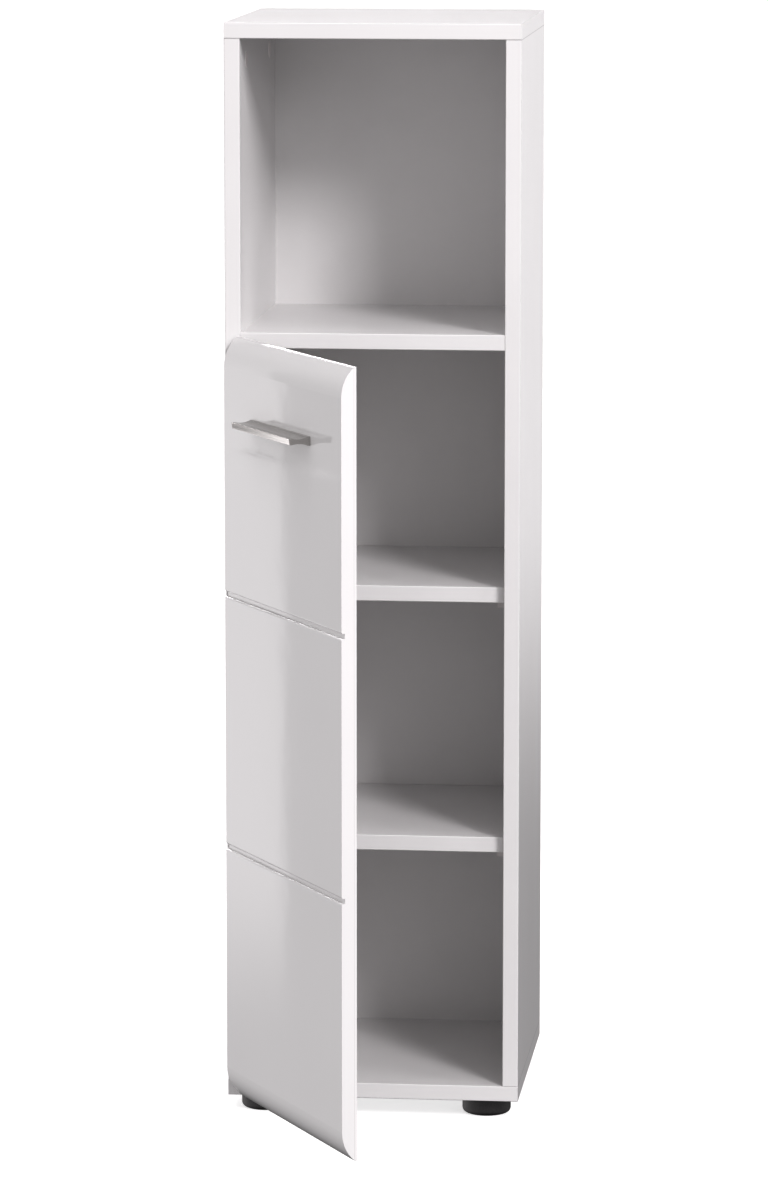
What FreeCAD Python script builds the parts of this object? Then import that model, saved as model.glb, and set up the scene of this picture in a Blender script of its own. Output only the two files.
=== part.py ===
import FreeCAD
import Part
import Sketcher
import math
import os
import re
from FreeCAD import Placement, Rotation, Vector

# A tall, narrow bathroom cabinet: an open niche above a closet with two loose shelves
# behind one door, which stands open by rest_angle on two single-pivot cup hinges.
# The front looks along -Y, the hinges are on the left (-X), and the feet stand on z = 0.

# Driving dimensions, in millimetres and degrees
SIZES = {
    # carcass boards
    "carcass_width": 300,
    "carcass_depth": 300,
    "board": 16,
    "edge_round": 1,
    "niche_height": 296,
    "closet_height": 760,
    "back_thickness": 3,
    "back_recess": 10,
    "back_groove": 6,
    "back_play": 0.3,
    "loose_shelf_setback": 12,
    "loose_shelf_play": 0.5,
    # feet
    "foot_diameter": 50,
    "foot_height": 19,
    "foot_round": 5,
    "foot_inset": 35,
    "foot_recess_diameter": 13,
    "foot_recess_depth": 11,
    "foot_screw_diameter": 4,
    "foot_screw_bite": 12,
    "foot_screw_head": 8,
    "foot_screw_head_height": 2.4,
    # cam connectors and dowels
    "cam_diameter": 15,
    "cam_depth": 12.5,
    "cam_setback": 24,
    "cam_front": 50,
    "cam_rear": 60,
    "bolt_thread": 5,
    "bolt_bite": 11,
    "bolt_shank": 6,
    "bolt_neck": 4,
    "bolt_neck_length": 4,
    "bolt_head": 6.6,
    "bolt_head_length": 5,
    "bolt_channel": 7.2,
    "cap_diameter": 17,
    "cap_thickness": 0.7,
    "cap_stem_diameter": 5,
    "cap_stem_length": 2.5,
    "dowel_diameter": 8,
    "dowel_length": 30,
    "dowel_bite": 10,
    "dowel_chamfer": 1,
    "dowel_offset": 32,
    # shelf supports
    "peg_diameter": 5,
    "peg_length": 8,
    "peg_front": 37,
    "peg_rear": 45,
    "peg_pitch": 32,
    "ledge_reach": 9,
    "ledge_width": 10,
    "ledge_height": 8,
    # door
    "door_thickness": 16,
    "door_side_reveal": 2,
    "door_top_reveal": 4,
    "door_bottom_reveal": 2,
    "door_gap": 3.5,
    "door_roll": 30,
    "door_land": 2,
    "door_groove_height": 5,
    "door_groove_depth": 3.5,
    "door_groove_ease": 2,
    "rest_angle": 60,
    "bumper_diameter": 6,
    "bumper_thickness": 3,
    "bumper_chamfer": 0.8,
    "bumper_inset": 9.5,
    "bumper_end_distance": 40,
    # handle
    "handle_length": 146,
    "handle_drop": 80,
    "handle_projection": 23,
    "handle_base_height": 9,
    "handle_base_thickness": 2.5,
    "handle_waist": 4.4,
    "handle_waist_distance": 13,
    "handle_lip_height": 6,
    "handle_lip_thickness": 3.6,
    "handle_screw_spacing": 128,
    "handle_screw_diameter": 4,
    "handle_screw_bite": 6,
    "handle_screw_head": 8,
    "handle_screw_head_height": 2.2,
    # hinges: pivot, cup, arm and plate
    "hinge_end_distance": 100,
    "pivot_edge": 8,
    "pivot_depth": 9.2,
    "pivot_diameter": 2.5,
    "pivot_length": 16,
    "cup_diameter": 35,
    "cup_depth": 12.5,
    "cup_edge": 3,
    "cup_floor": 0.8,
    "slot_width": 9,
    "slot_play": 0.4,
    "slot_heel": 1.2,
    "wing_length": 62,
    "wing_width": 19,
    "wing_shift": 5,
    "wing_thickness": 1,
    "wing_round": 5,
    "cup_screw_spacing": 48,
    "cup_screw_diameter": 3.5,
    "cup_screw_bite": 11,
    "cup_screw_head": 6.6,
    "cup_screw_head_height": 1.6,
    "spring_thickness": 0.5,
    "spring_length": 12,
    "eye_diameter": 4.4,
    "tongue_thickness": 3,
    "tongue_width": 8,
    "arm_reach": 17,
    "arm_metal": 2.4,
    "arm_bend": 1.5,
    "arm_start": 4,
    "arm_length": 54,
    "arm_width": 19,
    "arm_cheek": 2,
    "arm_cheek_gap": 0.5,
    "plate_setback": 37,
    "plate_length": 46,
    "plate_width": 18,
    "plate_thickness": 2,
    "plate_rib_length": 30,
    "plate_rib_play": 0.2,
    "plate_screw_spacing": 32,
    "plate_screw_diameter": 5,
    "plate_screw_bite": 11,
    "plate_screw_head": 9,
    "plate_screw_head_height": 2.4,
    "arm_screw_spacing": 17,
    "arm_screw_diameter": 4,
    "arm_screw_bite": 8,
    "arm_screw_head": 7.5,
    "arm_screw_head_height": 2,
    # shared clearances and cuts
    "hole_gap": 0.05,
    "pivot_gap": 0.05,
    "end_play": 0.5,
    "overrun": 1,
}

# What repeats: the loose shelves, the peg holes by each shelf, and the fields of the door's front
SHELF_NAMES = ("lower", "upper")
PEG_ROW_COUNT = 3
DOOR_FIELD_COUNT = 3

# A screw's cross recess, as shares of its head
CROSS_LENGTH_SHARE = 0.56
CROSS_WIDTH_SHARE = 0.15
CROSS_DEPTH_SHARE = 0.5
HEAD_ROUND_SHARE = 0.5

doc = FreeCAD.newDocument("bathroom_cabinet")
sheet = doc.addObject("Spreadsheet::Sheet", "sizes")
for row, (alias, size) in enumerate(SIZES.items(), start=1):
    sheet.set(f"A{row}", alias)
    sheet.set(f"B{row}", str(size))
    sheet.setAlias(f"B{row}", alias)
doc.recompute()

# Heights above the floor
CLOSET_FLOOR = "(foot_height + board)"
CLOSET_CEILING = f"({CLOSET_FLOOR} + closet_height)"
NICHE_FLOOR = f"({CLOSET_CEILING} + board)"
NICHE_CEILING = f"({NICHE_FLOOR} + niche_height)"
SIDE_HEIGHT = "(closet_height + board + niche_height)"
DOOR_BOTTOM = "(foot_height + door_bottom_reveal)"
DOOR_HEIGHT = "(2 * board + closet_height - door_top_reveal - door_bottom_reveal)"
SHELF_STEP = f"((closet_height + board) / {len(SHELF_NAMES) + 1})"

# Places in plan: the back panel, the door and its hinge axis, from the carcass's front left corner
INNER_WIDTH = "(carcass_width - 2 * board)"
BACK_FACE = "(carcass_depth - back_recess - back_thickness)"
CAM_PLACES = ("cam_front", "(carcass_depth - cam_rear)")
DOWEL_PLACES = ("(cam_front + dowel_offset)", "(carcass_depth - cam_rear - dowel_offset)")
PEG_PLACES = ("peg_front", f"({BACK_FACE} - peg_rear)")
FOOT_PLACES_X = {"left": "foot_inset", "right": "(carcass_width - foot_inset)"}
FOOT_PLACES_Y = {"front": "foot_inset", "rear": "(carcass_depth - foot_inset)"}
DOOR_WIDTH = "(carcass_width - 2 * door_side_reveal)"
OPEN_REACH = (
    "(door_gap + pivot_depth"
    f" + ({DOOR_WIDTH} - pivot_edge) * sin(rest_angle)"
    " + (door_thickness - pivot_depth) * cos(rest_angle))"
)

# The frame's origin lies on the floor, in the middle of the box round the opened cabinet
LEFT = "(-carcass_width / 2)"
FRONT = f"(({OPEN_REACH} - carcass_depth) / 2)"
AXIS_X = f"({LEFT} + door_side_reveal + pivot_edge)"
AXIS_Y = f"({FRONT} - door_gap - pivot_depth)"

# Places seen from the hinge axis with the door shut: x to the free edge, y to the rear
DOOR_FRONT = "(pivot_depth - door_thickness)"
CARCASS_FRONT = "(pivot_depth + door_gap)"
SIDE_FACE = "(board - door_side_reveal - pivot_edge)"
CUP_MIDDLE = "(cup_edge + cup_diameter / 2 - pivot_edge)"
CUP_FLOOR = "(pivot_depth - cup_depth + cup_floor)"
PLATE_MIDDLE = f"({CARCASS_FRONT} + plate_setback)"
ARM_SCREW_PLACES = [f"({PLATE_MIDDLE} {sign} arm_screw_spacing / 2)" for sign in ("-", "+")]
HINGE_LEVELS = {
    "upper": f"({DOOR_BOTTOM} + {DOOR_HEIGHT} - hinge_end_distance)",
    "lower": f"({DOOR_BOTTOM} + hinge_end_distance)",
}
BUMPER_LEVELS = (
    f"({DOOR_BOTTOM} + bumper_end_distance)",
    f"({DOOR_BOTTOM} + {DOOR_HEIGHT} - bumper_end_distance)",
)

# Turns that point a piece's own +Z another way
UP = Rotation()
DOWN = Rotation(Vector(1, 0, 0), 180)
TO_RIGHT = Rotation(Vector(0, 1, 0), 90)
TO_LEFT = Rotation(Vector(0, 1, 0), -90)
TO_REAR = Rotation(Vector(1, 0, 0), -90)
TO_FRONT = Rotation(Vector(1, 0, 0), 90)

nodes = []


def sized(text):
    """The expression with each size's name turned into a reference to its cell."""
    return re.sub(r"[a-z_]+", lambda word: ("sizes." if word.group() in SIZES else "") + word.group(), text)


def number(text):
    """The present value of an expression."""
    return float(sheet.evalExpression(sized(text)))


def put(item, spot, turn=UP):
    """Turn an item and bind its place to the sheet."""
    item.Placement = Placement(Vector(), turn)
    for letter, text in zip("xyz", spot):
        item.setExpression(f"Placement.Base.{letter}", sized(text))
    return item


def keep(item, label):
    """Name an item as one of the cabinet's pieces."""
    item.Label = label
    nodes.append(item)
    return item


def box(name, size, spot):
    """A block with its sides and its lowest corner bound to the sheet."""
    block = doc.addObject("Part::Box", name)
    for side, text in zip(("Length", "Width", "Height"), size):
        block.setExpression(side, sized(text))
    return put(block, spot)


def rod(name, diameter, length, spot, turn=UP):
    """A cylinder that runs from a spot the way its turn points."""
    cylinder = doc.addObject("Part::Cylinder", name)
    cylinder.setExpression("Radius", sized(f"({diameter}) / 2"))
    cylinder.setExpression("Height", sized(length))
    return put(cylinder, spot, turn)


def bore(name, diameter, depth, spot, turn):
    """A drill for a hole of a depth: it starts an overrun outside the face at the spot."""
    way = turn.multVec(Vector(0, 0, 1))
    start = [f"{text} - overrun * {round(part)}" for text, part in zip(spot, way)]
    return rod(name, diameter, f"{depth} + overrun", start, turn)


def hole(size):
    """The width of a hole for a pin or a shank of a size."""
    return f"{size} + 2 * hole_gap"


def joined(name, items):
    """Several overlapping solids as one."""
    if len(items) == 1:
        return items[0]
    union = doc.addObject("Part::MultiFuse", name)
    union.Shapes = items
    return union


def cut(name, base, tools):
    """A solid without the room that its tools take."""
    result = doc.addObject("Part::Cut", name)
    result.Base = base
    result.Tool = joined(f"{name}_tools", tools)
    return result


def group(name, master, places):
    """Separate copies of one fastener, each at its own spot and turn."""
    copies = []
    for spot, turn in places:
        copy = doc.addObject("App::Link", f"{name}_copy")
        copy.LinkedObject = master
        copies.append(put(copy, spot, turn))
    several = doc.addObject("Part::Compound", name)
    several.Links = copies
    return several


def sketch_on(body, plane):
    """A new sketch on one of a body's own origin planes."""
    sketch = body.newObject("Sketcher::SketchObject", f"{body.Name}_outline")
    support = next(item for item in body.Origin.OriginFeatures if item.Role == plane)
    sketch.AttachmentSupport = [(support, "")]
    sketch.MapMode = "FlatFace"
    return sketch


def pin_point(sketch, edge, end, across, up):
    """Bind a point of a sketch to the sheet; None leaves that direction free."""
    for text, kind, axis in ((across, "DistanceX", -2), (up, "DistanceY", -1)):
        if text == "0":
            sketch.addConstraint(Sketcher.Constraint("PointOnObject", edge, end, axis))
        elif text is not None:
            index = sketch.addConstraint(Sketcher.Constraint(kind, -1, 1, edge, end, number(text)))
            sketch.setExpression(f"Constraints[{index}]", sized(text))


def outline(sketch, corners):
    """Draw a closed outline through corners (across, up).

    A corner (across, up, centre_across, centre_up, turn) starts an arc, anticlockwise where turn is 1.
    """
    spots = [Vector(number(corner[0]), number(corner[1])) for corner in corners]
    ends = []
    for start, stop, corner in zip(spots, spots[1:] + spots[:1], corners):
        if len(corner) == 2:
            sketch.addGeometry(Part.LineSegment(start, stop))
            ends.append((1, 2))
            continue
        centre = Vector(number(corner[2]), number(corner[3]))
        angles = [math.atan2(point.y - centre.y, point.x - centre.x) for point in (start, stop)]
        circle = Part.Circle(centre, Vector(0, 0, 1), (start - centre).Length)
        sketch.addGeometry(Part.ArcOfCircle(circle, *angles[:: corner[4]]))
        ends.append((1, 2)[:: corner[4]])
    for edge, corner in enumerate(corners):
        following = (edge + 1) % len(corners)
        meeting = Sketcher.Constraint("Coincident", edge, ends[edge][1], following, ends[following][0])
        sketch.addConstraint(meeting)
        pin_point(sketch, edge, ends[edge][0], corner[0], corner[1])
        if len(corner) > 2:
            chord = spots[following] - spots[edge]
            steep = abs(chord.y) > abs(chord.x)
            pin_point(sketch, edge, 3, corner[2] if steep else None, None if steep else corner[3])


def padded(name, plane, corners, length, midplane=False, reverse=False):
    """A body of one outline, drawn out by a length."""
    body = doc.addObject("PartDesign::Body", name)
    sketch = sketch_on(body, plane)
    outline(sketch, corners)
    pad = body.newObject("PartDesign::Pad", f"{name}_pad")
    pad.Profile = sketch
    pad.Midplane = midplane
    pad.Reversed = reverse
    pad.setExpression("Length", sized(length))
    return body


def upright_board(name, height):
    """A board on end, as deep as the carcass, with a banded front edge that is rounded on both sides."""
    corners = [
        ("edge_round", "0"),
        ("board - edge_round", "0", "board - edge_round", "edge_round", 1),
        ("board", "edge_round"),
        ("board", "carcass_depth"),
        ("0", "carcass_depth"),
        ("0", "edge_round", "edge_round", "edge_round", 1),
    ]
    return padded(name, "XY_Plane", corners, height)


def level_board(name, width, depth):
    """A board that lies flat, with a banded front edge that is rounded above and below."""
    corners = [
        ("edge_round", "0"),
        (depth, "0"),
        (depth, "board"),
        ("edge_round", "board", "edge_round", "board - edge_round", 1),
        ("0", "board - edge_round"),
        ("0", "edge_round", "edge_round", "edge_round", 1),
    ]
    return padded(name, "YZ_Plane", corners, width)


def turned(name, corners):
    """A body turned about its own Z axis from an outline of (radius, height) corners."""
    body = doc.addObject("PartDesign::Body", name)
    sketch = sketch_on(body, "XZ_Plane")
    outline(sketch, corners)
    revolution = body.newObject("PartDesign::Revolution", f"{name}_turn")
    revolution.Profile = sketch
    revolution.ReferenceAxis = (sketch, ["V_Axis"])
    revolution.Angle = 360
    return body


def screw(name, size, length):
    """A cross-head screw whose sizes start with one word: its head sits on z = 0 and its shank runs down."""
    shank, head, height = f"{size}_diameter / 2", f"{size}_head / 2", f"{size}_head_height"
    bend = f"{HEAD_ROUND_SHARE} * {height}"
    blank = turned(
        f"{name}_blank",
        [
            ("0", f"-({length})"),
            (shank, f"{shank} - ({length})"),
            (shank, "0"),
            (head, "0"),
            (head, f"{height} - {bend}", f"{head} - {bend}", f"{height} - {bend}", 1),
            (f"{head} - {bend}", height),
            ("0", height),
        ],
    )
    long_side, short_side = f"{CROSS_LENGTH_SHARE} * {size}_head", f"{CROSS_WIDTH_SHARE} * {size}_head"
    depth = f"{CROSS_DEPTH_SHARE} * {height}"
    bars = [
        box(f"{name}_cross", (a, b, f"{depth} + overrun"), (f"-{a} / 2", f"-{b} / 2", f"{height} - {depth}"))
        for a, b in ((long_side, short_side), (short_side, long_side))
    ]
    return cut(name, blank, bars)


def on_carcass(item, label, spot=("0", "0", "0")):
    """Keep a piece of the carcass, placed from the carcass's front left corner on the floor."""
    put(item, (f"{LEFT} + {spot[0]}", f"{FRONT} + {spot[1]}", spot[2]))
    return keep(item, label)


def on_door(item, label, level="0"):
    """Keep a piece of the door: made about the hinge axis with the door shut, and swung open."""
    put(item, (AXIS_X, AXIS_Y, level), Rotation(Vector(0, 0, 1), -SIZES["rest_angle"]))
    item.setExpression("Placement.Rotation.Angle", sized("-rest_angle"))
    return keep(item, label)


def at_hinge(item, label, level):
    """Keep a piece of the carcass that was made about the hinge axis."""
    return keep(put(item, (AXIS_X, AXIS_Y, level)), label)


# Side boards: bored for cams, dowels, the fixed shelf, shelf pegs and hinge plates
def side_board(name, inner, inward, hinged):
    """A side board, upright between the bottom and the top, with its inner face at inner."""
    dowel_hole, thread_hole, peg_hole = hole("dowel_diameter"), hole("bolt_thread"), hole("peg_diameter")
    tools = []
    for end, way in (("0", UP), (SIDE_HEIGHT, DOWN)):
        cam_level = "cam_setback" if end == "0" else f"({SIDE_HEIGHT} - cam_setback)"
        for place in CAM_PLACES:
            tools.append(bore(f"{name}_cam", "cam_diameter", "cam_depth", (inner, place, cam_level), inward))
            tools.append(bore(f"{name}_bolt", "bolt_channel", "cam_setback", ("board / 2", place, end), way))
        for place in DOWEL_PLACES:
            depth = "dowel_length - dowel_bite + end_play"
            tools.append(bore(f"{name}_dowel", dowel_hole, depth, ("board / 2", place, end), way))
    shelf_level = "(closet_height + board / 2)"
    for place in CAM_PLACES:
        spot = (inner, place, shelf_level)
        tools.append(bore(f"{name}_thread", thread_hole, "bolt_bite + end_play", spot, inward))
    for place in DOWEL_PLACES:
        spot = (inner, place, shelf_level)
        tools.append(bore(f"{name}_dowel", dowel_hole, "dowel_bite + end_play", spot, inward))
    for shelf in range(len(SHELF_NAMES)):
        for step in range(PEG_ROW_COUNT):
            rise = f"({step} - {PEG_ROW_COUNT - 1} / 2) * peg_pitch"
            level = f"({SHELF_STEP} * {shelf + 1} - board - ledge_height / 2 + {rise})"
            for place in PEG_PLACES:
                spot = (inner, place, level)
                tools.append(bore(f"{name}_peg", peg_hole, "peg_length + end_play", spot, inward))
    if hinged:
        for level in HINGE_LEVELS.values():
            for sign in ("+", "-"):
                spot = (inner, "plate_setback", f"{level} - {CLOSET_FLOOR} {sign} plate_screw_spacing / 2")
                size = hole("plate_screw_diameter")
                tools.append(bore(f"{name}_plate", size, "plate_screw_bite + end_play", spot, inward))
    groove_start = "(board - back_groove)" if inner == "board" else "(-overrun)"
    groove = ("back_groove + overrun", "back_thickness + back_play", f"{SIDE_HEIGHT} + 2 * overrun")
    tools.append(box(f"{name}_groove", groove, (groove_start, BACK_FACE, "-overrun")))
    return cut(name, upright_board(f"{name}_blank", SIDE_HEIGHT), tools)


on_carcass(side_board("left_side", "board", TO_LEFT, True), "left_side", ("0", "0", CLOSET_FLOOR))
right = side_board("right_side", "0", TO_RIGHT, False)
on_carcass(right, "right_side", ("carcass_width - board", "0", CLOSET_FLOOR))


# Top and bottom boards: they cap the sides, which are bolted and dowelled to them
def end_board(name, face, inward, footed):
    """A level board over or under the sides, with its inner face at face."""
    tools = []
    for across in ("board / 2", "(carcass_width - board / 2)"):
        for place in CAM_PLACES:
            size, spot = hole("bolt_thread"), (across, place, face)
            tools.append(bore(f"{name}_thread", size, "bolt_bite + end_play", spot, inward))
        for place in DOWEL_PLACES:
            size, spot = hole("dowel_diameter"), (across, place, face)
            tools.append(bore(f"{name}_dowel", size, "dowel_bite + end_play", spot, inward))
    if footed:
        for across in FOOT_PLACES_X.values():
            for place in FOOT_PLACES_Y.values():
                size, spot = hole("foot_screw_diameter"), (across, place, "0")
                tools.append(bore(f"{name}_foot", size, "foot_screw_bite + end_play", spot, UP))
    groove_start = "(board - back_groove)" if face == "board" else "(-overrun)"
    groove = (f"{INNER_WIDTH} + 2 * back_groove", "back_thickness + back_play", "back_groove + overrun")
    tools.append(box(f"{name}_groove", groove, ("board - back_groove", BACK_FACE, groove_start)))
    return cut(name, level_board(f"{name}_blank", "carcass_width", "carcass_depth"), tools)


on_carcass(end_board("top_panel", "0", UP, False), "top_panel", ("0", "0", NICHE_CEILING))
on_carcass(end_board("bottom_panel", "board", DOWN, True), "bottom_panel", ("0", "0", "foot_height"))


# Shelves and back
def fixed_shelf():
    """The shelf between niche and closet, held by cams from below."""
    tools = []
    for end, way in (("0", TO_RIGHT), (INNER_WIDTH, TO_LEFT)):
        cam_place = "cam_setback" if end == "0" else f"({INNER_WIDTH} - cam_setback)"
        for place in CAM_PLACES:
            tools.append(bore("shelf_cam", "cam_diameter", "cam_depth", (cam_place, place, "0"), UP))
            tools.append(bore("shelf_bolt", "bolt_channel", "cam_setback", (end, place, "board / 2"), way))
        for place in DOWEL_PLACES:
            depth = "dowel_length - dowel_bite + end_play"
            spot = (end, place, "board / 2")
            tools.append(bore("shelf_dowel", hole("dowel_diameter"), depth, spot, way))
    return cut("fixed_shelf", level_board("shelf_blank", INNER_WIDTH, BACK_FACE), tools)


on_carcass(fixed_shelf(), "fixed_shelf", ("board", "0", CLOSET_CEILING))
for shelf, name in enumerate(SHELF_NAMES):
    width = f"{INNER_WIDTH} - 2 * loose_shelf_play"
    depth = f"{BACK_FACE} - loose_shelf_setback - loose_shelf_play"
    level = f"{CLOSET_FLOOR} + {SHELF_STEP} * {shelf + 1} - board"
    spot = ("board + loose_shelf_play", "loose_shelf_setback", level)
    on_carcass(level_board(f"{name}_shelf", width, depth), f"{name}_shelf", spot)
back_size = (
    f"{INNER_WIDTH} + 2 * (back_groove - back_play)",
    "back_thickness",
    f"{SIDE_HEIGHT} + 2 * (back_groove - back_play)",
)
back_spot = ("board - back_groove + back_play", BACK_FACE, f"{CLOSET_FLOOR} - back_groove + back_play")
on_carcass(box("back_panel", back_size, ("0", "0", "0")), "back_panel", back_spot)

# Feet, each screwed up into the bottom board from its own recess
for depth_name, foot_y in FOOT_PLACES_Y.items():
    for side_name, foot_x in FOOT_PLACES_X.items():
        label = f"{depth_name}_{side_name}_foot"
        screw_hole = "foot_screw_diameter / 2 + hole_gap"
        foot = turned(
            label,
            [
                ("foot_recess_diameter / 2", "0"),
                ("foot_diameter / 2 - foot_round", "0", "foot_diameter / 2 - foot_round", "foot_round", 1),
                ("foot_diameter / 2", "foot_round"),
                ("foot_diameter / 2", "foot_height"),
                (screw_hole, "foot_height"),
                (screw_hole, "foot_recess_depth"),
                ("foot_recess_diameter / 2", "foot_recess_depth"),
            ],
        )
        on_carcass(foot, label, (foot_x, foot_y, "0"))
foot_screw = screw("foot_screw", "foot_screw", "foot_height - foot_recess_depth + foot_screw_bite")
foot_spots = [(x, y, "foot_recess_depth") for x in FOOT_PLACES_X.values() for y in FOOT_PLACES_Y.values()]
on_carcass(group("foot_screws", foot_screw, [(spot, DOWN) for spot in foot_spots]), "foot_screws")

# Cam connectors: a bolt in one board, drawn up by a cam in the other, and a cap over the cam
CAM_HEIGHT = "(cam_depth - hole_gap)"
cam_blank = rod("cam_blank", "cam_diameter - 2 * hole_gap", CAM_HEIGHT, ("0", "0", "0"))
mouth_spot = ("-bolt_head_length", "0", "cam_depth - board / 2")
cam_mouth = rod("cam_mouth", "bolt_channel", "cam_diameter", mouth_spot, TO_RIGHT)
socket_depth = "cap_stem_length + hole_gap"
cam_socket = bore("cam_socket", hole("cap_stem_diameter"), socket_depth, ("0", "0", CAM_HEIGHT), DOWN)
cam = cut("cam", cam_blank, [cam_mouth, cam_socket])
HEAD_START = "(cam_setback - bolt_head_length / 2)"
bolt = turned(
    "cam_bolt",
    [
        ("0", "-bolt_bite"),
        ("bolt_thread / 2", "-bolt_bite"),
        ("bolt_thread / 2", "0"),
        ("bolt_shank / 2", "0"),
        ("bolt_shank / 2", f"{HEAD_START} - bolt_neck_length"),
        ("bolt_neck / 2", f"{HEAD_START} - bolt_neck_length"),
        ("bolt_neck / 2", HEAD_START),
        ("bolt_head / 2", HEAD_START),
        ("bolt_head / 2", f"{HEAD_START} + bolt_head_length"),
        ("0", f"{HEAD_START} + bolt_head_length"),
    ],
)
cap = turned(
    "cam_cap",
    [
        ("0", "-cap_stem_length"),
        ("cap_stem_diameter / 2", "-cap_stem_length"),
        ("cap_stem_diameter / 2", "0"),
        ("cap_diameter / 2", "0"),
        ("cap_diameter / 2 - cap_thickness", "cap_thickness"),
        ("0", "cap_thickness"),
    ],
)
dowel = turned(
    "dowel",
    [
        ("0", "-dowel_bite"),
        ("dowel_diameter / 2 - dowel_chamfer", "-dowel_bite"),
        ("dowel_diameter / 2", "dowel_chamfer - dowel_bite"),
        ("dowel_diameter / 2", "dowel_length - dowel_bite - dowel_chamfer"),
        ("dowel_diameter / 2 - dowel_chamfer", "dowel_length - dowel_bite"),
        ("0", "dowel_length - dowel_bite"),
    ],
)


def pointed(z_way, x_way):
    """The turn that points a piece's own Z and X axes along two directions."""
    return Rotation(Vector(*x_way), Vector(), Vector(*z_way), "ZXY")


def end_joint(label, plane, rise):
    """Cams, bolts, caps and dowels where the sides rise from a level plane or hang under it."""
    away = (0, 0, -rise)
    cams, bolts, caps, dowels = [], [], [], []
    middle = f"{plane} + cam_setback * {rise}"
    for inner, across, inward in (
        ("board", "board / 2", 1),
        ("(carcass_width - board)", "(carcass_width - board / 2)", -1),
    ):
        for place in CAM_PLACES:
            cams.append(((f"{inner} - cam_depth * {inward}", place, middle), pointed((inward, 0, 0), away)))
            caps.append(((inner, place, middle), pointed((inward, 0, 0), away)))
            bolts.append(((across, place, plane), UP if rise > 0 else DOWN))
        for place in DOWEL_PLACES:
            dowels.append(((across, place, plane), UP if rise > 0 else DOWN))
    keep_joint(label, cams, bolts, caps, dowels)


def shelf_joint(label):
    """Cams, bolts, caps and dowels between the fixed shelf and the sides."""
    cams, bolts, caps, dowels = [], [], [], []
    middle = f"{CLOSET_CEILING} + board / 2"
    for plane, way in (("board", 1), ("(carcass_width - board)", -1)):
        across = f"{plane} + cam_setback * {way}"
        for place in CAM_PLACES:
            turn = pointed((0, 0, -1), (-way, 0, 0))
            cams.append(((across, place, f"{CLOSET_CEILING} + cam_depth"), turn))
            caps.append(((across, place, CLOSET_CEILING), turn))
            bolts.append(((plane, place, middle), TO_RIGHT if way > 0 else TO_LEFT))
        for place in DOWEL_PLACES:
            dowels.append(((plane, place, middle), TO_RIGHT if way > 0 else TO_LEFT))
    keep_joint(label, cams, bolts, caps, dowels)


def keep_joint(label, cams, bolts, caps, dowels):
    """Keep one joint's four kinds of connector."""
    for kind, master, places in (
        ("cams", cam, cams),
        ("cam_bolts", bolt, bolts),
        ("cam_caps", cap, caps),
        ("dowels", dowel, dowels),
    ):
        on_carcass(group(f"{label}_{kind}", master, places), f"{label}_{kind}")


end_joint("top", NICHE_CEILING, -1)
end_joint("bottom", CLOSET_FLOOR, 1)
shelf_joint("shelf")

# Shelf supports: a peg in the side board with a ledge under the shelf
support = joined(
    "shelf_support",
    [
        rod("support_peg", "peg_diameter", "peg_length + ledge_reach / 2", ("0", "0", "-peg_length")),
        box(
            "support_ledge",
            ("ledge_height", "ledge_width", "ledge_reach"),
            ("-ledge_height / 2", "-ledge_width / 2", "0"),
        ),
    ],
)
for shelf, name in enumerate(SHELF_NAMES):
    level = f"{CLOSET_FLOOR} + {SHELF_STEP} * {shelf + 1} - board - ledge_height / 2"
    places = []
    for place in PEG_PLACES:
        places.append((("board", place, level), TO_RIGHT))
        places.append((("carcass_width - board", place, level), TO_LEFT))
    on_carcass(group(f"{name}_shelf_supports", support, places), f"{name}_shelf_supports")


# Door board: rolled top and bottom ends, and flat grooves with eased edges that part it into equal fields
def door_board():
    """The door, drawn across its width from its profile, with bores for cups and screws in its back."""
    set_back = "(door_thickness - door_land)"
    roll_radius = arc_radius("door_roll", set_back)
    corners = [
        ("door_thickness", "0"),
        ("door_thickness", DOOR_HEIGHT),
        (set_back, DOOR_HEIGHT, roll_radius, f"{DOOR_HEIGHT} - door_roll", 1),
        ("0", f"{DOOR_HEIGHT} - door_roll"),
    ]
    for field in range(DOOR_FIELD_COUNT - 1, 0, -1):
        middle = f"{DOOR_HEIGHT} * {field} / {DOOR_FIELD_COUNT}"
        upper, lower = f"{middle} + door_groove_height / 2", f"{middle} - door_groove_height / 2"
        corners.append(("0", f"{upper} + door_groove_ease", "door_groove_ease", f"{upper} + door_groove_ease", 1))
        corners.append(("door_groove_ease", upper))
        corners.append(("door_groove_depth", upper))
        corners.append(("door_groove_depth", lower))
        corners.append(("door_groove_ease", lower, "door_groove_ease", f"{lower} - door_groove_ease", 1))
        corners.append(("0", f"{lower} - door_groove_ease"))
    corners.append(("0", "door_roll", roll_radius, "door_roll", 1))
    corners.append((set_back, "0"))
    blank = padded("door_blank", "YZ_Plane", corners, DOOR_WIDTH)
    put(blank, ("-pivot_edge", DOOR_FRONT, DOOR_BOTTOM))
    tools = []
    for level in HINGE_LEVELS.values():
        spot = (CUP_MIDDLE, "pivot_depth", level)
        tools.append(bore("door_cup", hole("cup_diameter"), "cup_depth + hole_gap", spot, TO_FRONT))
        for sign in ("+", "-"):
            spot = (f"{CUP_MIDDLE} + wing_shift", "pivot_depth", f"{level} {sign} cup_screw_spacing / 2")
            size = hole("cup_screw_diameter")
            tools.append(bore("door_cup_screw", size, "cup_screw_bite + end_play", spot, TO_FRONT))
    for spot in handle_screw_spots():
        size = hole("handle_screw_diameter")
        tools.append(bore("door_handle_screw", size, "door_thickness + overrun", spot, TO_FRONT))
    return cut("door_panel", blank, tools)


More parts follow.
